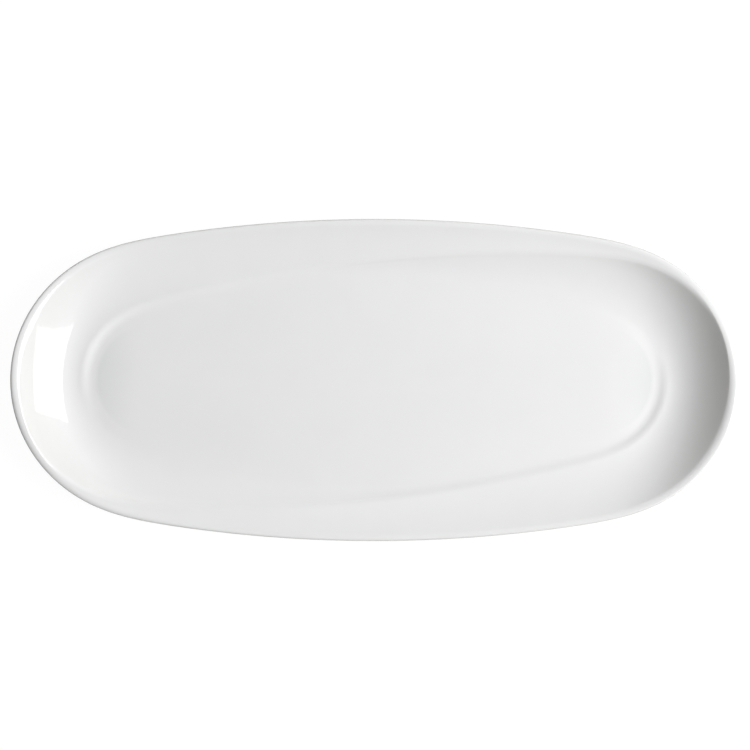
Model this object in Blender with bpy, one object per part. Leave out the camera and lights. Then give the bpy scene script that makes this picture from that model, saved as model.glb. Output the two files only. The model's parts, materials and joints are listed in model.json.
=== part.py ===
"""Celery dish: a long oval porcelain dish with a two-armed swirl.

The glazed body is lofted from one section, which changes from station to station round the rim.
A bare oval foot is luted under its base. X runs along the dish, Z is up and the table is at Z = 0.
"""

import math

import bmesh
import bpy
from mathutils import Vector

# Outline, seen from above: an oval of four arcs.
LENGTH = 0.311
WIDTH = 0.139
SIDE_BOW = 0.0088  # how much the end radius falls short of half the width
FAIRING = 0.026  # length of rim over which an end arc eases into a side arc

# Rim line: low along the sides and swept up at the two ends, measured from the floor.
END_RISE = 0.0147
SIDE_RISE = 0.0054
SWEEP_POWER = 5.5
LIP_THICKNESS = 0.0021
LIP_ROUND = 0.0055  # radius on the inside of the lip

# Swirl: each crease leaves one end as the foot of a wide ledge and runs out into the lip of the other.
LEDGE_NARROW = 0.0004
LEDGE_WIDE = 0.0278
LEDGE_STEEP = 2.1  # slope of the ledge at the lip, against its mean slope
LEDGE_LEVEL = -0.12  # slope of the ledge at the crease, against its mean slope
CREASE_OUT = 0.14  # where the crease has left the lip, in half turns of the rim
CREASE_IN = 0.78  # where the ledge has its full width, in half turns of the rim
CREASE_ROUND = 0.21
DROP_START = 0.145  # the ledge takes over the depth between these two, in half turns of the rim
DROP_END = 0.676
STEP_RISE = 0.00105  # crease above the floor at its start
STEP_RUN = 0.0049
RUN_START = 0.1  # the wall's run shrinks to the step's between these two, in half turns of the rim
RUN_END = 0.8
CREASE_SOFTNESS = 0.0012
TIP_BLEND_AT = 0.072
TIP_BLEND_HALF = 0.188
JOIN_RUN = 0.006  # run over which the inside is eased onto the lip

# Well.
WALL_RUN = 0.0267  # level run of the end wall, from the lip to the floor
WALL_CURVE = 2.21
FLOOR_CROWN = 0.0008
PLATEAU_SHARE = 0.9  # how far in the crown has levelled off, as a share of the end radius

# Underside and foot.
BASE_THICKNESS = 0.0045
BASE_INSET_END = 0.035
BASE_INSET_SIDE = 0.028
BACK_CURVE = 2.2
FOOT_HEIGHT = 0.0035
FOOT_INSET = 0.0368
FOOT_TOP_WIDTH = 0.0062
FOOT_FACE_WIDTH = 0.0036
FOOT_EDGE = 0.0005
LUTE_GAP = 0.0003  # layer of slip between the foot and the base

# Facets.
FAIR_STEPS = 6
END_STEPS = 16
SIDE_STEPS = 12
WELL_RINGS = 20
CROWN_RINGS = 2
LIP_RINGS = 3
BACK_RINGS = 8

END_RADIUS = WIDTH / 2 - SIDE_BOW
BASE_Z = FOOT_HEIGHT + LUTE_GAP
FLOOR_Z = BASE_Z + BASE_THICKNESS


def ease(t):
    """Smooth step from 0 to 1."""
    t = min(max(t, 0.0), 1.0)
    return t * t * (3 - 2 * t)


def mix(a, b, t):
    return a + (b - a) * t


def crown(t):
    """Rise of the floor from its edge, quickest a third of the way in."""
    t = min(max(t, 0.0), 1.0)
    return FLOOR_CROWN * (1 - (1 - t) ** 3 * (1 + 3 * t))


class Oval:
    """Four-arc oval, walked by its length of arc from the +X tip, with its joins faired."""

    def __init__(self):
        self.focus = LENGTH / 2 - END_RADIUS
        self.side_radius = (self.focus**2 + (WIDTH / 2) ** 2 - END_RADIUS**2) / (2 * SIDE_BOW)
        self.side_angle = math.atan2(self.focus, self.side_radius - WIDTH / 2)
        self.end_run = END_RADIUS * (math.pi / 2 - self.side_angle)
        self.quarter = self.end_run + self.side_radius * self.side_angle
        self.stretch = Vector((1, 1))
        tip, side = self.faired(0), self.faired(self.quarter)
        self.stretch = Vector((LENGTH / 2 / tip.x, WIDTH / 2 / side.y))

    def bare(self, run):
        """Point of the oval before fairing. Each quarter mirrors the first."""
        turn = int(run // self.quarter) % 4
        part = run % self.quarter
        if turn % 2:
            part = self.quarter - part
        if part < self.end_run:
            angle = part / END_RADIUS
            centre = Vector((self.focus, 0))
            radius = END_RADIUS
        else:
            angle = math.pi / 2 - (self.quarter - part) / self.side_radius
            centre = Vector((0, WIDTH / 2 - self.side_radius))
            radius = self.side_radius
        point = centre + radius * Vector((math.cos(angle), math.sin(angle)))
        return Vector((point.x * (-1 if turn in (1, 2) else 1), point.y * (-1 if turn > 1 else 1)))

    def faired(self, run):
        """Mean of the oval over a short stretch, which eases the bend from arc to arc."""
        total = Vector((0, 0))
        for k in range(-FAIR_STEPS, FAIR_STEPS + 1):
            weight = FAIR_STEPS + 1 - abs(k)
            total += weight * self.bare(run + FAIRING * k / FAIR_STEPS)
        return total / (FAIR_STEPS + 1) ** 2 * self.stretch

    def station(self, run):
        """Point, outward normal and lap. The lap counts half turns: 0 at the +X tip, 1 at the -X tip."""
        ahead = self.faired(run + FAIRING / 50) - self.faired(run - FAIRING / 50)
        normal = Vector((ahead.y, -ahead.x)).normalized()
        return self.faired(run), normal, run / (2 * self.quarter)


def stations():
    """Stations round the whole outline, closer together at the ends."""
    oval = Oval()
    steps = [oval.end_run * k / END_STEPS for k in range(END_STEPS)]
    side_run = oval.quarter - oval.end_run
    steps += [oval.end_run + side_run * k / SIDE_STEPS for k in range(SIDE_STEPS)]
    runs = steps + [oval.quarter] + [2 * oval.quarter - run for run in reversed(steps[1:])]
    runs += [2 * oval.quarter + run for run in runs]
    return [oval.station(run) for run in runs]


def sweep(point):
    """Share of the rise from the middle of a side to a tip."""
    return abs(2 * point.x / LENGTH) ** SWEEP_POWER


class Arm:
    """Section across one arm of the swirl, by inset from the outline and height above the floor."""

    def __init__(self, lap, rim):
        t = (lap - CREASE_OUT) / (CREASE_IN - CREASE_OUT)
        widening = (math.hypot(t, CREASE_ROUND) - math.hypot(t - 1, CREASE_ROUND) + 1) / 2
        width = mix(LEDGE_NARROW, LEDGE_WIDE, widening)
        self.crease = LIP_THICKNESS / 2 + width
        self.height = mix(rim, STEP_RISE, ease((lap - DROP_START) / (DROP_END - DROP_START)))
        self.run = mix(WALL_RUN, STEP_RUN, ease((lap - RUN_START) / (RUN_END - RUN_START)))
        fall = rim - self.height
        self.lip_angle = math.atan(LEDGE_STEEP * fall / width)
        self.start = LIP_THICKNESS / 2 + LIP_ROUND * math.sin(self.lip_angle)
        self.top = rim - LIP_ROUND * (1 - math.cos(self.lip_angle))
        self.level = LEDGE_LEVEL * fall / width

    def ledge(self, inset):
        """Hollow curve from the lip to the crease, steep at the lip."""
        slope = math.tan(self.lip_angle)
        span = max(self.crease - self.start, 1e-4)
        t = (inset - self.start) / span
        if t < 0:
            return self.top - slope * (inset - self.start)
        return (
            (2 * t**3 - 3 * t**2 + 1) * self.top
            - (t**3 - 2 * t**2 + t) * span * slope
            + (3 * t**2 - 2 * t**3) * self.height
            - (t**3 - t**2) * span * self.level
        )

    def wall(self, inset):
        """Hollow curve from the crease down to the crowned floor."""
        left = 1 - (inset - self.crease) / self.run
        floor_run = max(PLATEAU_SHARE * END_RADIUS - self.crease - self.run, 1e-3)
        return self.height * max(left, 0.0) ** WALL_CURVE + crown(-left * self.run / floor_run)

    def at(self, inset):
        """Height at an inset, with the crease softened."""
        total = 0.0
        for shift in (-1.0, -0.5, 0.0, 0.5, 1.0):
            near = inset + shift * CREASE_SOFTNESS
            total += self.ledge(near) if near < self.crease else self.wall(near)
        return total / 5


def section(point, lap):
    """The (inset, height) pairs of one station, from the plateau out over the lip and in under the base."""
    rim = mix(SIDE_RISE, END_RISE, sweep(point))
    past_tip = (lap + 0.5) % 1.0 - 0.5
    lead = ease((past_tip - TIP_BLEND_AT + TIP_BLEND_HALF) / (2 * TIP_BLEND_HALF))
    arm = Arm(past_tip + 1, rim)
    next_arm = Arm(past_tip, rim)
    radius = LIP_THICKNESS / 2
    lip_angle = mix(arm.lip_angle, next_arm.lip_angle, lead)
    start = radius + LIP_ROUND * math.sin(lip_angle)
    top = rim - LIP_ROUND * (1 - math.cos(lip_angle))
    plateau = PLATEAU_SHARE * END_RADIUS
    step_end = radius + LEDGE_WIDE + STEP_RUN

    def inside(inset):
        return mix(arm.at(inset), next_arm.at(inset), lead)

    short = top - inside(start)
    pairs = []
    for ring in range(CROWN_RINGS):
        inset = mix(plateau, step_end, ring / CROWN_RINGS)
        pairs.append((inset, inside(inset)))
    for ring in range(WELL_RINGS):
        inset = mix(step_end, start, ring / WELL_RINGS)
        fade = max(0.0, 1 - (inset - start) / JOIN_RUN)
        pairs.append((inset, inside(inset) + short * fade**2))

    base_inset = mix(BASE_INSET_SIDE, BASE_INSET_END, sweep(point))
    back_angle = math.atan(BACK_CURVE * (rim - LIP_THICKNESS + BASE_THICKNESS) / base_inset)
    for ring in range(LIP_RINGS):
        angle = lip_angle * (1 - ring / LIP_RINGS)
        pairs.append((radius + LIP_ROUND * math.sin(angle), rim - LIP_ROUND * (1 - math.cos(angle))))
    for ring in range(2 * LIP_RINGS + 1):
        t = ring / LIP_RINGS - 1
        angle = math.pi + t * (math.pi / 2 if t < 0 else math.pi / 2 - back_angle)
        pairs.append((radius + radius * math.cos(angle), rim - radius + radius * math.sin(angle)))

    edge, under = pairs[-1]
    for ring in range(1, BACK_RINGS + 1):
        t = ring / BACK_RINGS
        drop = under + BASE_THICKNESS
        pairs.append((mix(edge, base_inset, t), drop * (1 - t) ** BACK_CURVE - BASE_THICKNESS))
    return pairs


def ring_edges(bm, ring):
    return [bm.edges.get((vert, ring[i - 1])) for i, vert in enumerate(ring)]


def extend(bm, ring, places):
    """Extrudes the ring's edges and moves the new ring to its places."""
    made = bmesh.ops.extrude_edge_only(bm, edges=ring_edges(bm, ring))["geom"]
    fresh = {item for item in made if isinstance(item, bmesh.types.BMVert)}
    grown = [
        next(edge.other_vert(vert) for edge in vert.link_edges if edge.other_vert(vert) in fresh)
        for vert in ring
    ]
    for vert, place in zip(grown, places):
        vert.co = place
    return grown


def loft(bm, rings):
    """Skins a list of rings of places. Returns the first and the last ring of vertices."""
    first = bmesh.ops.create_circle(bm, segments=len(rings[0]), radius=1.0)["verts"]
    first = sorted(first, key=lambda vert: math.atan2(vert.co.y, vert.co.x) % (2 * math.pi))
    for vert, place in zip(first, rings[0]):
        vert.co = place
    last = first
    for places in rings[1:]:
        last = extend(bm, last, places)
    return first, last


def add_part(name, bm, material):
    bmesh.ops.recalc_face_normals(bm, faces=bm.faces)
    mesh = bpy.data.meshes.new(name)
    bm.to_mesh(mesh)
    bm.free()
    mesh.shade_smooth()
    mesh.set_sharp_from_angle(angle=math.radians(35))
    mesh.materials.append(material)
    part = bpy.data.objects.new(name, mesh)
    bpy.context.scene.collection.objects.link(part)
    return part


def make_material(name, color, roughness):
    material = bpy.data.materials.new(name)
    material.use_nodes = True
    shader = material.node_tree.nodes["Principled BSDF"]
    shader.inputs["Base Color"].default_value = (*color, 1.0)
    shader.inputs["Roughness"].default_value = roughness
    material.diffuse_color = (*color, 1.0)
    return material


def place(point, normal, inset, z):
    flat = point - inset * normal
    return (flat.x, flat.y, z)


def make_body(around):
    """Well, swirl, lip, outer wall and base, as one closed skin."""
    sections = [section(point, lap) for point, normal, lap in around]
    rings = []
    for k in range(len(sections[0])):
        ring = []
        for (point, normal, lap), pairs in zip(around, sections):
            inset, height = pairs[k]
            ring.append(place(point, normal, inset, FLOOR_Z + height))
        rings.append(ring)
    bm = bmesh.new()
    first, last = loft(bm, rings)
    bmesh.ops.edgeloop_fill(bm, edges=ring_edges(bm, first))
    bmesh.ops.edgeloop_fill(bm, edges=ring_edges(bm, last))
    return add_part("dish_body", bm, make_material("glazed_porcelain", (0.86, 0.86, 0.84), 0.08))


def make_foot(around):
    """Oval foot with a flat ground face, wider where it meets the base."""
    lean = (FOOT_TOP_WIDTH - FOOT_FACE_WIDTH) / 2
    outer = FOOT_INSET
    inner = FOOT_INSET + FOOT_TOP_WIDTH
    edge_lean = lean * (1 - FOOT_EDGE / FOOT_HEIGHT)
    pairs = [
        (outer, FOOT_HEIGHT),
        (outer + edge_lean - FOOT_EDGE / 2, FOOT_EDGE),
        (outer + lean, 0.0),
        (inner - lean, 0.0),
        (inner - edge_lean + FOOT_EDGE / 2, FOOT_EDGE),
        (inner, FOOT_HEIGHT),
    ]
    rings = [
        [place(point, normal, inset, z) for point, normal, lap in around] for inset, z in pairs
    ]
    bm = bmesh.new()
    first, last = loft(bm, rings)
    bmesh.ops.bridge_loops(bm, edges=ring_edges(bm, first) + ring_edges(bm, last))
    return add_part("foot_ring", bm, make_material("bare_porcelain", (0.72, 0.69, 0.64), 0.75))


def main():
    for old in list(bpy.data.objects):
        bpy.data.objects.remove(old, do_unlink=True)
    around = stations()
    make_body(around)
    make_foot(around)


main()
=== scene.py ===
"""Celery dish: the looks of a long oval porcelain dish, with its studio.

The file is laid out as an add-on and run as a script. Lengths are in metres, X runs along the
dish, Z is up and the table is at Z = 0.
"""

import json
import math

import bmesh
import bpy
from bpy.props import FloatProperty, FloatVectorProperty, IntProperty, PointerProperty
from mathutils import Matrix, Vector

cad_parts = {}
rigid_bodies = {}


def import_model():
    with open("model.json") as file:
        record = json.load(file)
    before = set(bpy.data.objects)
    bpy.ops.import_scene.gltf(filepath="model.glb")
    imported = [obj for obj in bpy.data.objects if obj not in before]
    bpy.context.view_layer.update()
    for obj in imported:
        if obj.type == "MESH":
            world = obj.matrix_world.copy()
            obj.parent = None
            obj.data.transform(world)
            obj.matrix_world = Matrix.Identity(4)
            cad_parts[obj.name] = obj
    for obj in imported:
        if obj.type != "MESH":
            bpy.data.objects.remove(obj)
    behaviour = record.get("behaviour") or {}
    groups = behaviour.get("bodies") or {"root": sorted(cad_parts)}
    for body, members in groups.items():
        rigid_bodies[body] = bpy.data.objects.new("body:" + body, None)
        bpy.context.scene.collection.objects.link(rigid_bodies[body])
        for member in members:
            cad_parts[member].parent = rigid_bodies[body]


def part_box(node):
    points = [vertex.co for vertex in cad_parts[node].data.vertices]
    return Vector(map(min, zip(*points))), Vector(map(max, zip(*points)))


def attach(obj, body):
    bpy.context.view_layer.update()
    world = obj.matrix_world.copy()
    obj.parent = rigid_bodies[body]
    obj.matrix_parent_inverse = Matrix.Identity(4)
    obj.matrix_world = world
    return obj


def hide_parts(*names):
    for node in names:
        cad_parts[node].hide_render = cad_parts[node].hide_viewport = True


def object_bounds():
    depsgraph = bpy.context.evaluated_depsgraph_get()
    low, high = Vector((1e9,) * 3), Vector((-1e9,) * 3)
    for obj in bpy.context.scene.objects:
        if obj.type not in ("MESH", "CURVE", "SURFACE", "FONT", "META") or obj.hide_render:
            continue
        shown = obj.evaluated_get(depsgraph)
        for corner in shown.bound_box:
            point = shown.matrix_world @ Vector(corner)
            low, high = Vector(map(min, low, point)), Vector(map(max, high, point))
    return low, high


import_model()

bl_info = {
    "name": "Celery dish",
    "version": (1, 0, 0),
    "blender": (4, 5, 0),
    "location": "View3D > Sidebar > Celery dish",
    "description": "Makes a long oval porcelain dish with a swirl, and the studio it stands in",
    "category": "Add Mesh",
}

CAD_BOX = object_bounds()
BODY_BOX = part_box("dish_body")

# Shares and powers that shape the section. A lap is half a turn of the rim, counted from a tip.
SWEEP_POWER = 5.5  # how late the rim sweeps up towards a tip
WALL_CURVE = 2.21  # hollow of the wall below the crease
BACK_CURVE = 2.2  # hollow of the outer wall
FOOT_CURVE = 3  # hollow of the foot's flanks
PLATEAU_SHARE = 0.9  # inset of the middle of the floor, of the end radius
LEDGE_STEEP = 2.1  # slope of the ledge at the lip, of its mean slope
LEDGE_LEVEL = -0.25  # slope of the ledge at the crease, of its mean slope
LIP_SLOPE = 0.05  # least slope of the ledge at the lip
CREASE_OUT = 0.14  # lap at which the crease has left the lip
CREASE_IN = 0.78  # lap at which the ledge has its full width
CREASE_ROUND = 0.21  # how gently the ledge starts and stops widening
DROP_START = 0.12  # the crease falls from the rim to the step between these two laps
DROP_END = 0.676
RUN_START = 0.1  # the wall's run shrinks to the step's between these two laps
RUN_END = 0.6
TIP_BLEND_AT = 0.02  # lap past a tip at which one arm gives way to the next
TIP_BLEND_HALF = 0.12  # half the laps that it takes
ROLL_START = -0.05  # lap past a tip from which the crest of the lip lies further in
ROLL_FULL = 0.12  # lap at which it lies furthest in
ROLL_END = 0.32  # lap at which it is back
END_FROM = 0.5  # share of the half length from which the floor's crown starts more sharply
END_OVER = 0.4  # share over which that comes in
EDGE_FROM = 0.8  # share of the foot's height, from the top, at which its edge rounds in
STEP_SHADE_SHARE = 0.8  # strength of the painted shade at the foot of an end step, of the darkest
STEP_SHADE_CURVE = 0.5  # how far the painted shade reaches up the crown

# Steps of the two means, over which the outline is faired and the crease is softened.
FAIR_STEPS = 8
SOFT_STEPS = 4
SOFT_SHIFTS = [k / SOFT_STEPS for k in range(-SOFT_STEPS, SOFT_STEPS + 1)]
NEAR_PARTS = 50  # the outline's direction is read one such part of the fairing each way
LEAST_LEDGE = 0.0001  # least runs that a section divides by
LEAST_FLOOR = 0.001

# Patterns of the finishes, as the size of a patch and the depth of a bump.
CLOUD_SIZE = 0.014  # whiter and greyer body under the glaze
SHINE_SIZE = 0.009  # more and less gloss
RIPPLE_SIZE = 0.006  # ripple that the running glaze has set with
RIPPLE_DEPTH = 0.000012
RUB_SIZE = 0.010  # patches rubbed by shelves and racks
GRIT_SIZE = 0.0006  # real grit, of about 0.05 mm, is too fine to show, so it is drawn this coarse
GRIT_DEPTH = 0.00006

# Ranges that the finishes are mapped to or from.
PORCELAIN_IOR = 1.5  # of the glassy glaze, and of the fired body
GLAZE_ROUGHNESS = (0.05, 0.10)
BARE_ROUGHNESS = (0.65, 0.85)
STEEP_SHADE_SLOPE = (0.40, 0.68)  # sine of the slope at which the painted shade of steep walls starts, and is fullest
STEP_SHADE_FROM = 0.1  # painted step shade from which it shows
STEP_SHADE_MOST = 0.95  # most that the painted step shade covers
RUB_NOISE = (0.52, 0.72)  # noise at which rubbing starts, and is full
FLOOR_ROUGHNESS = 0.9
FLOOR_WHITE = 1.05  # a little over white, to make up for the shaded share of the floor
WHITE = (1, 1, 1, 1)
# A Mix node's colour sockets go by number, because its other sockets have the same names.
MIX_A, MIX_B, MIX_COLOUR = 6, 7, 2


def linear(code):
    """Turns an sRGB hex colour into the linear values that a shader takes."""
    parts = [int(code[i : i + 2], 16) / 255 for i in (1, 3, 5)]
    return tuple(c / 12.92 if c <= 0.04045 else ((c + 0.055) / 1.055) ** 2.4 for c in parts)


def mix(a, b, t):
    """Value a share t of the way from a to b."""
    return a + (b - a) * t


def ease(t):
    """Smooth step from 0 to 1."""
    t = min(max(t, 0.0), 1.0)
    return t * t * (3 - 2 * t)


def swell(t):
    """Rise from 0 to 1, quickest at the start."""
    t = min(max(t, 0.0), 1.0)
    return t * (2 - t)


def metres(name, description, default):
    return FloatProperty(name=name, description=description, default=default, min=0, unit="LENGTH")


def watts(name, description, default):
    return FloatProperty(name=name, description=description, default=default, min=0, unit="POWER")


def angle(name, description, degrees):
    return FloatProperty(
        name=name, description=description, default=math.radians(degrees), subtype="ANGLE"
    )


def count(name, description, default):
    return IntProperty(name=name, description=description, default=default, min=1)


def colour(name, description, code):
    return FloatVectorProperty(
        name=name, description=description, default=linear(code), subtype="COLOR", min=0, max=1
    )


class DishSizes(bpy.types.PropertyGroup):
    """Sizes of the dish. The overall ones come from the solid model."""

    length: metres("Length", "Tip to tip", BODY_BOX[1].x - BODY_BOX[0].x)
    width: metres("Width", "Across the middle", BODY_BOX[1].y - BODY_BOX[0].y)
    side_bow: metres("Side bow", "How far the end radius falls short of half the width", 0.0088)
    fairing: metres("Fairing", "Length of rim over which an end eases into a side", 0.026)
    end_rise: metres("End rise", "Rim above the floor at the two ends", 0.0147)
    side_rise: metres("Side rise", "Rim above the floor at the middle of a side", 0.0054)
    lip: metres("Lip", "Thickness of the rounded lip", 0.0021)
    lip_round: metres("Lip round", "Radius on the inside of the lip", 0.0053)
    lip_roll: metres("Lip roll", "Outline to the lip's crest, where the crease runs out", 0.0024)
    join_run: metres("Lip join", "Run over which the inside is eased onto the lip", 0.006)
    ledge_narrow: metres("Narrow ledge", "Ledge where the crease runs out into the lip", 0.0004)
    ledge_wide: metres("Wide ledge", "Ledge where the crease starts", 0.0288)
    step_rise: metres("Step", "Crease above the floor where it starts", 0.00095)
    step_run: metres("Step run", "Level run of the step", 0.004)
    softness: metres("Crease softness", "Half the width over which the crease is rounded", 0.0012)
    wall_run: metres("Wall run", "Level run of an end wall", 0.0267)
    crown: metres("Floor crown", "How much the middle of the floor stands up", 0.0012)
    base: metres("Base", "Thickness of the base", 0.0045)
    base_z: metres("Base height", "Table to the underside of the base", BODY_BOX[0].z)
    base_inset_end: metres("Base inset at an end", "Tip to the edge of the flat base", 0.035)
    base_inset_side: metres("Base inset at a side", "Side to the edge of the flat base", 0.028)
    foot_inset: metres("Foot inset", "Outline to the outside of the foot", 0.0368)
    foot_top: metres("Foot top", "Width of the foot where it meets the base", 0.0062)
    foot_face: metres("Foot face", "Width of the ground face", 0.0036)
    foot_edge: metres("Foot edge", "How far the edges of the ground face round in", 0.0004)
    foot_sink: metres("Foot sink", "How far the foot goes up into the base, past the slip", 0.0002)
    end_steps: count("End steps", "Facets in a quarter's end", 44)
    side_steps: count("Side steps", "Facets in a quarter's side", 36)
    crown_rings: count("Crown rings", "Rings on the floor", 10)
    well_rings: count("Well rings", "Rings from step to lip", 72)
    lip_rings: count("Lip rings", "Rings on each half of the lip", 10)
    back_rings: count("Back rings", "Rings on the outer wall", 32)
    foot_rings: count("Foot rings", "Rings on each flank of the foot", 10)


class DishFinish(bpy.types.PropertyGroup):
    """Colours of the dish and its studio."""

    glaze: colour("Glaze", "Clear glaze over white porcelain", "#EFEFEF")
    glaze_shade: colour("Glaze shade", "The same where the body is a little greyer", "#ECECEC")
    # Painted shade: steep walls are drawn greyer and a touch warmer, standing in for how light
    # falls on them.
    steep_shade: colour("Steep wall shade", "Glaze that has run off a steep wall", "#E0E0DE")
    # Painted shade: a darker, cooler tone on the floor at the foot of the end steps.
    step_shade: colour("Step shade", "Glaze that has run in and lies thick", "#DEE0E0")
    bare: colour("Bare porcelain", "Unglazed foot", "#DDD6CA")
    bare_grey: colour("Rubbed porcelain", "Foot where shelves and racks have rubbed it", "#BDB6AB")
    floor: colour("Floor", "Table top", "#F2F2F2")


class StudioSizes(bpy.types.PropertyGroup):
    """Camera, lights and floor."""

    lens: FloatProperty(name="Lens", description="Focal length", default=100.0, unit="CAMERA")
    view_width: metres("View width", "Width that the picture takes in, at the tips", 0.32028)
    view_right: metres("View shift", "Middle of the picture, right of the dish's middle", 0.0003)
    view_up: metres("View rise", "Middle of the picture, above the dish's middle", 0.00217)
    softbox_away: metres("Softbox distance", "Softbox to the middle of the dish", 1.70)
    softbox_wide: metres("Softbox width", "Level side of the softbox", 1.02)
    softbox_tall: metres("Softbox height", "Other side of the softbox", 1.44)
    softbox_up: angle("Softbox rise", "Softbox above the table", 42)
    softbox_turn: angle("Softbox turn", "Softbox about Z, from +X", -4)
    softbox_power: watts("Softbox power", "Light of the softbox", 36.9)
    card_away: metres("Card distance", "Card to the middle of the dish", 1.70)
    card_wide: metres("Card width", "Level side of the reflector card behind the dish", 1.6)
    card_tall: metres("Card height", "Other side of the card", 1.0)
    card_up: angle("Card rise", "Card above the table", 30)
    card_turn: angle("Card turn", "Card about Z, from +X", 90)
    card_power: watts("Card power", "Light of the card", 3.6)
    room_light: FloatProperty(
        name="Room light", description="Light from all round. 1 is white", default=0.135, min=0
    )
    floor_side: metres("Floor side", "Side of the square floor", 8.0)
    floor_glow: FloatProperty(
        name="Floor glow",
        description="Share of plain white in the floor as it is seen. The rest is shaded",
        default=0.92,
        min=0,
        max=1,
        subtype="FACTOR",
    )


class Oval:
    """Four-arc outline, walked by its length of arc from the +X tip, with its joins faired."""

    def __init__(self, sizes):
        self.half_length = sizes.length / 2
        self.half_width = sizes.width / 2
        self.fairing = sizes.fairing
        self.end_radius = self.half_width - sizes.side_bow
        self.focus = self.half_length - self.end_radius
        gap = self.focus**2 + self.half_width**2 - self.end_radius**2
        self.side_radius = gap / (2 * sizes.side_bow)
        self.side_angle = math.atan2(self.focus, self.side_radius - self.half_width)
        self.end_run = self.end_radius * (math.pi / 2 - self.side_angle)
        self.quarter = self.end_run + self.side_radius * self.side_angle
        # Fairing draws the oval in a little, so it is stretched back to its length and width.
        self.stretch = Vector((1, 1))
        tip, side = self.faired(0), self.faired(self.quarter)
        self.stretch = Vector((self.half_length / tip.x, self.half_width / side.y))

    def on_arcs(self, run):
        """Point of the oval before fairing. Each quarter mirrors the first."""
        turn = int(run // self.quarter) % 4
        part = run % self.quarter
        if turn % 2:
            part = self.quarter - part
        if part < self.end_run:
            bearing = part / self.end_radius
            centre = Vector((self.focus, 0))
            radius = self.end_radius
        else:
            bearing = math.pi / 2 - (self.quarter - part) / self.side_radius
            centre = Vector((0, self.half_width - self.side_radius))
            radius = self.side_radius
        point = centre + radius * Vector((math.cos(bearing), math.sin(bearing)))
        return Vector((-point.x if turn in (1, 2) else point.x, -point.y if turn > 1 else point.y))

    def faired(self, run):
        """Mean of the oval over a short stretch, which eases the bend from arc to arc."""
        total = Vector((0, 0))
        for k in range(-FAIR_STEPS, FAIR_STEPS + 1):
            weight = FAIR_STEPS + 1 - abs(k)
            total += weight * self.on_arcs(run + self.fairing * k / FAIR_STEPS)
        return total / (FAIR_STEPS + 1) ** 2 * self.stretch

    def stations(self, end_steps, side_steps):
        """(point, outward normal, lap) round the outline. Laps count from the +X tip."""
        steps = [self.end_run * k / end_steps for k in range(end_steps)]
        side_run = self.quarter - self.end_run
        steps += [self.end_run + side_run * k / side_steps for k in range(side_steps)]
        runs = steps + [self.quarter] + [2 * self.quarter - run for run in reversed(steps[1:])]
        runs += [2 * self.quarter + run for run in runs]
        near = self.fairing / NEAR_PARTS
        found = []
        for run in runs:
            ahead = self.faired(run + near) - self.faired(run - near)
            normal = Vector((ahead.y, -ahead.x)).normalized()
            found.append((self.faired(run), normal, run / (2 * self.quarter)))
        return found

    def endwards(self, point):
        """How far a point lies towards a tip, from 0 at the middle to 1."""
        return abs(point.x / self.half_length)

    def sweep(self, point):
        """How much of the rise of the ends the rim has at a point, from 0 to 1."""
        return self.endwards(point) ** SWEEP_POWER


class Arm:
    """Section across one arm of the swirl, by inset from the outline and height above the floor."""

    def __init__(self, sizes, plateau, lap, rim, endness):
        t = (lap - CREASE_OUT) / (CREASE_IN - CREASE_OUT)
        widening = (math.hypot(t, CREASE_ROUND) - math.hypot(t - 1, CREASE_ROUND) + 1) / 2
        width = mix(sizes.ledge_narrow, sizes.ledge_wide, widening)
        radius = sizes.lip / 2
        self.plateau = plateau
        self.crown = sizes.crown
        self.endness = endness
        self.softness = sizes.softness
        self.crease = radius + width
        drop = ease((lap - DROP_START) / (DROP_END - DROP_START))
        shrink = ease((lap - RUN_START) / (RUN_END - RUN_START))
        self.height = mix(rim, sizes.step_rise, drop)
        self.run = mix(sizes.wall_run, sizes.step_run, shrink)
        fall = rim - self.height
        self.slope = max(LEDGE_STEEP * fall / width, LIP_SLOPE)
        self.lip_angle = math.atan(self.slope)
        self.start = radius + sizes.lip_round * math.sin(self.lip_angle)
        self.top = rim - sizes.lip_round * (1 - math.cos(self.lip_angle))
        self.level = LEDGE_LEVEL * fall / width

    def ledge(self, inset):
        """Hollow curve from the lip to the crease, steep at the lip."""
        span = max(self.crease - self.start, LEAST_LEDGE)
        t = (inset - self.start) / span
        if t < 0:
            return self.top - self.slope * (inset - self.start)
        return (
            (2 * t**3 - 3 * t**2 + 1) * self.top
            - (t**3 - 2 * t**2 + t) * span * self.slope
            + (3 * t**2 - 2 * t**3) * self.height
            - (t**3 - t**2) * span * self.level
        )

    def wall(self, inset):
        """Hollow curve from the crease down to the crowned floor."""
        left = 1 - (inset - self.crease) / self.run
        floor_run = max(self.plateau - self.crease - self.run, LEAST_FLOOR)
        along = -left * self.run / floor_run
        rise = self.crown * mix(ease(along), swell(along), self.endness)
        return self.height * max(left, 0.0) ** WALL_CURVE + rise

    def at(self, inset):
        """Height at an inset, with the crease softened."""
        total = 0.0
        for shift in SOFT_SHIFTS:
            near = inset + shift * self.softness
            total += self.ledge(near) if near < self.crease else self.wall(near)
        return total / len(SOFT_SHIFTS)


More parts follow.
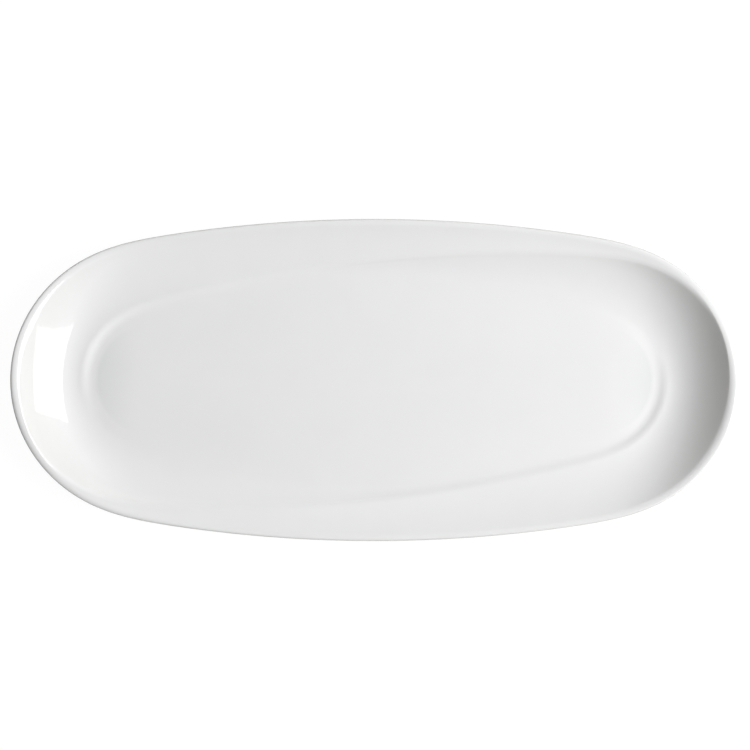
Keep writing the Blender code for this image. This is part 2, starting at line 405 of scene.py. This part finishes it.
def section(sizes, oval, point, lap):
    """(inset, height) pairs of one station, from the floor over the lip and in under the base."""
    sweep = oval.sweep(point)
    rim = mix(sizes.side_rise, sizes.end_rise, sweep)
    plateau = PLATEAU_SHARE * oval.end_radius
    endness = ease((oval.endwards(point) - END_FROM) / END_OVER)
    past_tip = (lap + 0.5) % 1.0 - 0.5
    lead = ease((past_tip - TIP_BLEND_AT + TIP_BLEND_HALF) / (2 * TIP_BLEND_HALF))
    arm = Arm(sizes, plateau, past_tip + 1, rim, endness)
    next_arm = Arm(sizes, plateau, past_tip, rim, endness)

    radius = sizes.lip / 2
    lip_round = sizes.lip_round
    lip_angle = mix(arm.lip_angle, next_arm.lip_angle, lead)
    rolled = ease((past_tip - ROLL_START) / (ROLL_FULL - ROLL_START))
    rolled *= 1 - ease((past_tip - ROLL_FULL) / (ROLL_END - ROLL_FULL))
    crest = mix(radius, sizes.lip_roll, rolled)
    start = crest + lip_round * math.sin(lip_angle)
    top = rim - lip_round * (1 - math.cos(lip_angle))
    step_end = radius + sizes.ledge_wide + sizes.step_run

    def inside(inset):
        return mix(arm.at(inset), next_arm.at(inset), lead)

    # Floor and well, eased onto the lip.
    short = top - inside(start)
    pairs = []
    for ring in range(sizes.crown_rings):
        inset = mix(plateau, step_end, ring / sizes.crown_rings)
        pairs.append((inset, inside(inset)))
    for ring in range(sizes.well_rings):
        inset = mix(step_end, start, ring / sizes.well_rings)
        fade = max(0.0, 1 - (inset - start) / sizes.join_run)
        pairs.append((inset, inside(inset) + short * fade**2))

    # Lip: its inside radius, then its round edge.
    base_inset = mix(sizes.base_inset_side, sizes.base_inset_end, sweep)
    back_angle = math.atan(BACK_CURVE * (rim - sizes.lip + sizes.base) / base_inset)
    for ring in range(sizes.lip_rings):
        tilt = lip_angle * (1 - ring / sizes.lip_rings)
        pairs.append((crest + lip_round * math.sin(tilt), rim - lip_round * (1 - math.cos(tilt))))
    for ring in range(2 * sizes.lip_rings + 1):
        t = ring / sizes.lip_rings - 1
        tilt = math.pi + t * (math.pi / 2 if t < 0 else math.pi / 2 - back_angle)
        reach = crest if t < 0 else radius
        pairs.append((reach + reach * math.cos(tilt), rim - radius + radius * math.sin(tilt)))

    # Outer wall, down to the edge of the flat base.
    edge, under = pairs[-1]
    drop = under + sizes.base
    for ring in range(1, sizes.back_rings + 1):
        t = ring / sizes.back_rings
        pairs.append((mix(edge, base_inset, t), drop * (1 - t) ** BACK_CURVE - sizes.base))
    return pairs


def steepness(pairs):
    """Rise of a section at each of its points, as the sine of its slope."""
    spots = [Vector((-inset, height)) for inset, height in pairs]
    ahead = spots[1:] + spots[-1:]
    behind = spots[:1] + spots[:-1]
    return [abs((b - a).normalized().y) for a, b in zip(behind, ahead)]


def step_shades(sizes, sweep, pairs):
    """Painted shade along a section, from 0 to 1, darkening the floor at the foot of the end steps.
    """
    shades = [0.0] * len(pairs)
    for k, (_, height) in enumerate(pairs[: sizes.crown_rings]):
        shades[k] = STEP_SHADE_SHARE * sweep * max(0.0, 1 - height / sizes.crown) ** STEP_SHADE_CURVE
    return shades


def at_inset(station, inset, z):
    """Place at an inset from the outline, square to it."""
    point, normal, _ = station
    flat = point - inset * normal
    return flat.x, flat.y, z


def ring_edges(bm, ring):
    return [bm.edges.get((vert, ring[i - 1])) for i, vert in enumerate(ring)]


def extend(bm, ring, places):
    """Extrudes the ring's edges and moves the new ring to its places."""
    made = bmesh.ops.extrude_edge_only(bm, edges=ring_edges(bm, ring))["geom"]
    fresh = {item for item in made if isinstance(item, bmesh.types.BMVert)}
    grown = [
        next(edge.other_vert(vert) for edge in vert.link_edges if edge.other_vert(vert) in fresh)
        for vert in ring
    ]
    for vert, place in zip(grown, places):
        vert.co = place
    return grown


def loft(bm, rings):
    """Skins a list of rings of places and returns the rings of vertices."""
    first = bmesh.ops.create_circle(bm, segments=len(rings[0]), radius=1.0)["verts"]
    first = sorted(first, key=lambda vert: math.atan2(vert.co.y, vert.co.x) % (2 * math.pi))
    for vert, place in zip(first, rings[0]):
        vert.co = place
    skins = [first]
    for places in rings[1:]:
        skins.append(extend(bm, skins[-1], places))
    return skins


def add_piece(context, name, bm, material, node):
    """Makes the finished mesh a piece that rides on the body and stands for its solid."""
    bmesh.ops.recalc_face_normals(bm, faces=bm.faces)
    mesh = bpy.data.meshes.new(name)
    bm.to_mesh(mesh)
    bm.free()
    mesh.shade_smooth()
    mesh.materials.append(material)
    piece = bpy.data.objects.new(name, mesh)
    context.scene.collection.objects.link(piece)
    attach(piece, "root")
    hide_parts(node)


def add_node(tree, kind, links=None, **settings):
    """Adds a node, sets it up, and links or sets its inputs."""
    made = tree.nodes.new(kind)
    for name, value in settings.items():
        setattr(made, name, value)
    for name, value in (links or {}).items():
        if isinstance(value, bpy.types.NodeSocket):
            tree.links.new(value, made.inputs[name])
        else:
            made.inputs[name].default_value = value
    return made


def new_material(name):
    material = bpy.data.materials.new(name)
    material.use_nodes = True
    tree = material.node_tree
    return material, tree, tree.nodes["Principled BSDF"]


def glazed_porcelain(finish):
    """White porcelain under a clear gloss glaze, dipped and fired.

    The eye gets a near-white body that is a touch uneven and a sharp, slightly rippled shine.
    Painted shade is laid in its colour: a greyer, slightly warm tone on steep walls, and a darker,
    cooler one on the floor at the foot of the end steps.
    """
    material, tree, shader = new_material("glazed_porcelain")
    spot = add_node(tree, "ShaderNodeTexCoord").outputs["Object"]
    cloud = add_node(
        tree, "ShaderNodeTexNoise", {"Vector": spot, "Scale": 1 / CLOUD_SIZE, "Detail": 3.0}
    ).outputs["Fac"]
    body = add_node(
        tree,
        "ShaderNodeMix",
        {"Factor": cloud, MIX_A: (*finish.glaze, 1), MIX_B: (*finish.glaze_shade, 1)},
        data_type="RGBA",
    ).outputs[MIX_COLOUR]

    # Painted shade: steep walls take the greyer tone, by the sine of their slope.
    steep = add_node(tree, "ShaderNodeAttribute", attribute_name="steepness").outputs["Fac"]
    steep_shade = add_node(
        tree,
        "ShaderNodeMapRange",
        {"Value": steep, "From Min": STEEP_SHADE_SLOPE[0], "From Max": STEEP_SHADE_SLOPE[1]},
    ).outputs["Result"]
    steep_shaded = add_node(
        tree,
        "ShaderNodeMix",
        {"Factor": steep_shade, MIX_A: body, MIX_B: (*finish.steep_shade, 1)},
        data_type="RGBA",
    ).outputs[MIX_COLOUR]

    # Painted shade at the foot of the end steps, read from the mesh.
    depth = add_node(tree, "ShaderNodeAttribute", attribute_name="step_shade_depth").outputs["Fac"]
    thick = add_node(
        tree,
        "ShaderNodeMapRange",
        {"Value": depth, "From Min": STEP_SHADE_FROM, "To Max": STEP_SHADE_MOST},
    ).outputs["Result"]
    shaded_colour = add_node(
        tree,
        "ShaderNodeMix",
        {"Factor": thick, MIX_A: steep_shaded, MIX_B: (*finish.step_shade, 1)},
        data_type="RGBA",
    ).outputs[MIX_COLOUR]
    tree.links.new(shaded_colour, shader.inputs["Base Color"])

    shine = add_node(
        tree, "ShaderNodeTexNoise", {"Vector": spot, "Scale": 1 / SHINE_SIZE, "Detail": 2.0}
    ).outputs["Fac"]
    rough = add_node(
        tree,
        "ShaderNodeMapRange",
        {"Value": shine, "To Min": GLAZE_ROUGHNESS[0], "To Max": GLAZE_ROUGHNESS[1]},
    ).outputs["Result"]
    tree.links.new(rough, shader.inputs["Roughness"])

    ripple = add_node(
        tree, "ShaderNodeTexNoise", {"Vector": spot, "Scale": 1 / RIPPLE_SIZE, "Detail": 1.0}
    ).outputs["Fac"]
    bump = add_node(
        tree, "ShaderNodeBump", {"Height": ripple, "Strength": 1.0, "Distance": RIPPLE_DEPTH}
    )
    tree.links.new(bump.outputs["Normal"], shader.inputs["Normal"])
    shader.inputs["IOR"].default_value = PORCELAIN_IOR
    return material


def bare_porcelain(finish):
    """Fired porcelain without glaze, ground flat on a wheel.

    The eye gets a matt, warm, sugary surface with a fine grit, and greyer patches where it has
    rubbed.
    """
    material, tree, shader = new_material("bare_porcelain")
    spot = add_node(tree, "ShaderNodeTexCoord").outputs["Object"]
    rub = add_node(
        tree, "ShaderNodeTexNoise", {"Vector": spot, "Scale": 1 / RUB_SIZE, "Detail": 4.0}
    ).outputs["Fac"]
    worn = add_node(
        tree,
        "ShaderNodeMapRange",
        {"Value": rub, "From Min": RUB_NOISE[0], "From Max": RUB_NOISE[1]},
    ).outputs["Result"]
    tone = add_node(
        tree,
        "ShaderNodeMix",
        {"Factor": worn, MIX_A: (*finish.bare, 1), MIX_B: (*finish.bare_grey, 1)},
        data_type="RGBA",
    ).outputs[MIX_COLOUR]
    tree.links.new(tone, shader.inputs["Base Color"])

    grit = add_node(
        tree, "ShaderNodeTexNoise", {"Vector": spot, "Scale": 1 / GRIT_SIZE, "Detail": 2.0}
    ).outputs["Fac"]
    rough = add_node(
        tree,
        "ShaderNodeMapRange",
        {"Value": grit, "To Min": BARE_ROUGHNESS[0], "To Max": BARE_ROUGHNESS[1]},
    ).outputs["Result"]
    tree.links.new(rough, shader.inputs["Roughness"])
    bump = add_node(
        tree, "ShaderNodeBump", {"Height": grit, "Strength": 1.0, "Distance": GRIT_DEPTH}
    )
    tree.links.new(bump.outputs["Normal"], shader.inputs["Normal"])
    shader.inputs["IOR"].default_value = PORCELAIN_IOR
    return material


def seen_directly(tree):
    """1 for a ray that shows the stage: from the camera, in a reflection or through glass."""
    ray = add_node(tree, "ShaderNodeLightPath").outputs
    some = add_node(
        tree,
        "ShaderNodeMath",
        {0: ray["Is Camera Ray"], 1: ray["Is Glossy Ray"]},
        operation="MAXIMUM",
    ).outputs[0]
    return add_node(
        tree, "ShaderNodeMath", {0: some, 1: ray["Is Transmission Ray"]}, operation="MAXIMUM"
    ).outputs[0]


def white_floor(finish, glow_share):
    """Matt white table top, which is shown as white with a faint shadow left in it."""
    material, tree, shader = new_material("white_floor")
    shader.inputs["Base Color"].default_value = (*finish.floor, 1)
    shader.inputs["Roughness"].default_value = FLOOR_ROUGHNESS
    shader.inputs["Specular IOR Level"].default_value = 0.0
    glow = add_node(tree, "ShaderNodeEmission", {"Color": WHITE, "Strength": FLOOR_WHITE})
    share = add_node(
        tree, "ShaderNodeMath", {0: seen_directly(tree), 1: glow_share}, operation="MULTIPLY"
    ).outputs[0]
    shown = add_node(
        tree, "ShaderNodeMixShader", {0: share, 1: shader.outputs[0], 2: glow.outputs[0]}
    )
    tree.links.new(shown.outputs[0], tree.nodes["Material Output"].inputs["Surface"])
    return material


def add_floor(scene):
    """Lays the floor as a plain square, which is part of the stage."""
    studio = scene.dish_studio
    bm = bmesh.new()
    bmesh.ops.create_grid(bm, x_segments=1, y_segments=1, size=studio.floor_side / 2)
    mesh = bpy.data.meshes.new("floor")
    bm.to_mesh(mesh)
    bm.free()
    mesh.materials.append(white_floor(scene.dish_finish, studio.floor_glow))
    floor = bpy.data.objects.new("floor", mesh)
    scene.collection.objects.link(floor)


def add_lamp(scene, name, sides, power, away, up, turn):
    """Hangs a flat lamp at a distance, an angle up and an angle round, and turns it to the dish."""
    lamp = bpy.data.lights.new(name, "AREA")
    lamp.shape = "RECTANGLE"
    lamp.size, lamp.size_y = sides
    lamp.energy = power
    aim = Vector((math.cos(up) * math.cos(turn), math.cos(up) * math.sin(turn), math.sin(up)))
    hung = bpy.data.objects.new(name, lamp)
    hung.location = away * aim
    hung.rotation_euler = (-aim).to_track_quat("-Z", "Y").to_euler()
    scene.collection.objects.link(hung)


def add_room(scene):
    """Lights the dish evenly from all round, and shows as white."""
    world = bpy.data.worlds.new("room")
    world.use_nodes = True
    tree = world.node_tree
    strength = add_node(
        tree,
        "ShaderNodeMapRange",
        {"Value": seen_directly(tree), "To Min": scene.dish_studio.room_light, "To Max": 1.0},
    ).outputs["Result"]
    back = tree.nodes["Background"]
    back.inputs["Color"].default_value = WHITE
    tree.links.new(strength, back.inputs["Strength"])
    scene.world = world


def add_camera(scene):
    """Hangs the camera straight above, at the height that gives the view its width at the tips."""
    studio = scene.dish_studio
    lens = bpy.data.cameras.new("camera")
    lens.lens = studio.lens
    away = studio.view_width * lens.lens / lens.sensor_width
    tip_z = CAD_BOX[1].z - scene.dish_sizes.lip / 2
    camera = bpy.data.objects.new("camera", lens)
    camera.location = (studio.view_right, studio.view_up, tip_z + away)
    scene.collection.objects.link(camera)
    scene.camera = camera


class DISH_OT_glazed_body(bpy.types.Operator):
    """Loft the glazed body: well, swirl, lip, outer wall and base"""

    bl_idname = "dish.glazed_body"
    bl_label = "Glazed body"

    def execute(self, context):
        sizes = context.scene.dish_sizes
        oval = Oval(sizes)
        stations = oval.stations(sizes.end_steps, sizes.side_steps)
        sections = [section(sizes, oval, point, lap) for point, _, lap in stations]
        floor_z = sizes.base_z + sizes.base
        rings = []
        for pairs in zip(*sections):
            sides = zip(stations, pairs)
            rings.append([at_inset(at, inset, floor_z + rise) for at, (inset, rise) in sides])

        bm = bmesh.new()
        depth = bm.verts.layers.float.new("step_shade_depth")
        steep = bm.verts.layers.float.new("steepness")
        skins = loft(bm, rings)
        # Each vertex gets its painted step shade and its slope.
        for k, ((point, _, _), pairs) in enumerate(zip(stations, sections)):
            shades = step_shades(sizes, oval.sweep(point), pairs)
            for skin, step_shade_value, slope in zip(skins, shades, steepness(pairs)):
                skin[k][depth] = step_shade_value
                skin[k][steep] = slope
        for skin in (skins[0], skins[-1]):
            bmesh.ops.edgeloop_fill(bm, edges=ring_edges(bm, skin))
        material = glazed_porcelain(context.scene.dish_finish)
        add_piece(context, "glazed_body", bm, material, "dish_body")
        return {"FINISHED"}


class DISH_OT_bare_foot(bpy.types.Operator):
    """Loft the bare foot, flared into the base and ground flat underneath"""

    bl_idname = "dish.bare_foot"
    bl_label = "Bare foot"

    def execute(self, context):
        sizes = context.scene.dish_sizes
        stations = Oval(sizes).stations(sizes.end_steps, sizes.side_steps)
        middle = sizes.foot_inset + sizes.foot_top / 2
        half_face = sizes.foot_face / 2
        flare = (sizes.foot_top - sizes.foot_face) / 2
        flank = []
        for ring in range(sizes.foot_rings + 1):
            t = ring / sizes.foot_rings
            flared = half_face + flare * (1 - t) ** FOOT_CURVE
            rounded = sizes.foot_edge * ease((t - EDGE_FROM) / (1 - EDGE_FROM))
            flank.append((flared - rounded, mix(sizes.base_z + sizes.foot_sink, 0.0, t)))
        pairs = [(middle - out, z) for out, z in flank]
        pairs += [(middle + out, z) for out, z in reversed(flank)]
        rings = [[at_inset(station, inset, z) for station in stations] for inset, z in pairs]

        bm = bmesh.new()
        skins = loft(bm, rings)
        bmesh.ops.bridge_loops(bm, edges=ring_edges(bm, skins[0]) + ring_edges(bm, skins[-1]))
        material = bare_porcelain(context.scene.dish_finish)
        add_piece(context, "bare_foot", bm, material, "foot_ring")
        return {"FINISHED"}


class DISH_OT_studio(bpy.types.Operator):
    """Set up the floor, the softbox, the card, the room light and the camera above the dish"""

    bl_idname = "dish.studio"
    bl_label = "Studio"

    def execute(self, context):
        scene = context.scene
        studio = scene.dish_studio
        # Blender's start-up file has a lamp, a camera and a cube of its own.
        for old in list(scene.objects):
            if old.type in {"LIGHT", "CAMERA"} or old.name == "Cube":
                bpy.data.objects.remove(old, do_unlink=True)
        add_floor(scene)
        add_lamp(
            scene,
            "softbox",
            (studio.softbox_wide, studio.softbox_tall),
            studio.softbox_power,
            studio.softbox_away,
            studio.softbox_up,
            studio.softbox_turn,
        )
        add_lamp(
            scene,
            "card",
            (studio.card_wide, studio.card_tall),
            studio.card_power,
            studio.card_away,
            studio.card_up,
            studio.card_turn,
        )
        add_room(scene)
        add_camera(scene)
        scene.view_settings.view_transform = "Standard"
        return {"FINISHED"}


class DISH_PT_panel(bpy.types.Panel):
    """Sidebar panel that lists the pieces"""

    bl_idname = "DISH_PT_panel"
    bl_label = "Celery dish"
    bl_space_type = "VIEW_3D"
    bl_region_type = "UI"
    bl_category = "Celery dish"

    def draw(self, context):
        scene = context.scene
        column = self.layout.column()
        for operator in OPERATORS:
            column.operator(operator.bl_idname)
        for group in (scene.dish_sizes, scene.dish_finish, scene.dish_studio):
            box = self.layout.box()
            for name in group.__annotations__:
                box.prop(group, name)


OPERATORS = (DISH_OT_glazed_body, DISH_OT_bare_foot, DISH_OT_studio)
CLASSES = (DishSizes, DishFinish, StudioSizes, *OPERATORS, DISH_PT_panel)


def register():
    for item in CLASSES:
        bpy.utils.register_class(item)
    bpy.types.Scene.dish_sizes = PointerProperty(type=DishSizes)
    bpy.types.Scene.dish_finish = PointerProperty(type=DishFinish)
    bpy.types.Scene.dish_studio = PointerProperty(type=StudioSizes)


def unregister():
    del bpy.types.Scene.dish_studio
    del bpy.types.Scene.dish_finish
    del bpy.types.Scene.dish_sizes
    for item in reversed(CLASSES):
        bpy.utils.unregister_class(item)


def main():
    register()
    bpy.ops.dish.glazed_body()
    bpy.ops.dish.bare_foot()
    bpy.ops.dish.studio()


if __name__ == "__main__":
    main()
